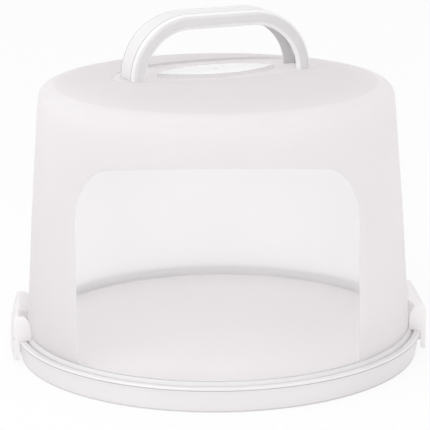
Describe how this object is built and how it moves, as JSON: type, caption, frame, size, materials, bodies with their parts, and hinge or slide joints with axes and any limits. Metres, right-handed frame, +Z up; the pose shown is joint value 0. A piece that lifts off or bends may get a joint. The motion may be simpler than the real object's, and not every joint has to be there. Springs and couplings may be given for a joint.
{
  "type": "cake carrier",
  "caption": "Round cake carrier: white tray, tall frosted cover with a clear window and an arched handle, and side latches hinged on the tray.",
  "frame": {"origin": "on the surface it stands on, at the middle of the tray", "axes": "+Z up, +X from the middle of the tray towards the right latch, +Y away from the clear window"},
  "size_m": [0.3072, 0.3, 0.252],
  "materials": {
    "tray_plastic": "smooth white polypropylene",
    "cover_plastic": "translucent polypropylene, frosted, with a polished clear window in front",
    "handle_plastic": "satin white polypropylene",
    "latch_plastic": "smooth white polypropylene"
  },
  "bodies": {
    "tray": {"base_tray": "tray_plastic"},
    "cover": {"dome_cover": "cover_plastic", "carry_handle": "handle_plastic"},
    "right_latch": {"right_latch": "latch_plastic"},
    "left_latch": {"left_latch": "latch_plastic"}
  },
  "joints": [
    {"name": "lid_lift", "type": "slide", "parent": "tray", "child": "cover", "axis": [0, 0, 1], "range_m": [0, 0.016]},
    {"name": "right_latch_hinge", "type": "hinge", "parent": "tray", "child": "right_latch", "pos_m": [0.1482, 0, 0.0063], "axis": [0, 1, 0], "range_deg": [0, 57.3]},
    {"name": "left_latch_hinge", "type": "hinge", "parent": "tray", "child": "left_latch", "pos_m": [-0.1482, 0, 0.0063], "axis": [0, -1, 0], "range_deg": [0, 57.3]}
  ],
  "couplings": [
    {"joint": "right_latch_hinge", "follows": "lid_lift", "rad_per_m": 62.5},
    {"joint": "left_latch_hinge", "follows": "lid_lift", "rad_per_m": 62.5}
  ]
}
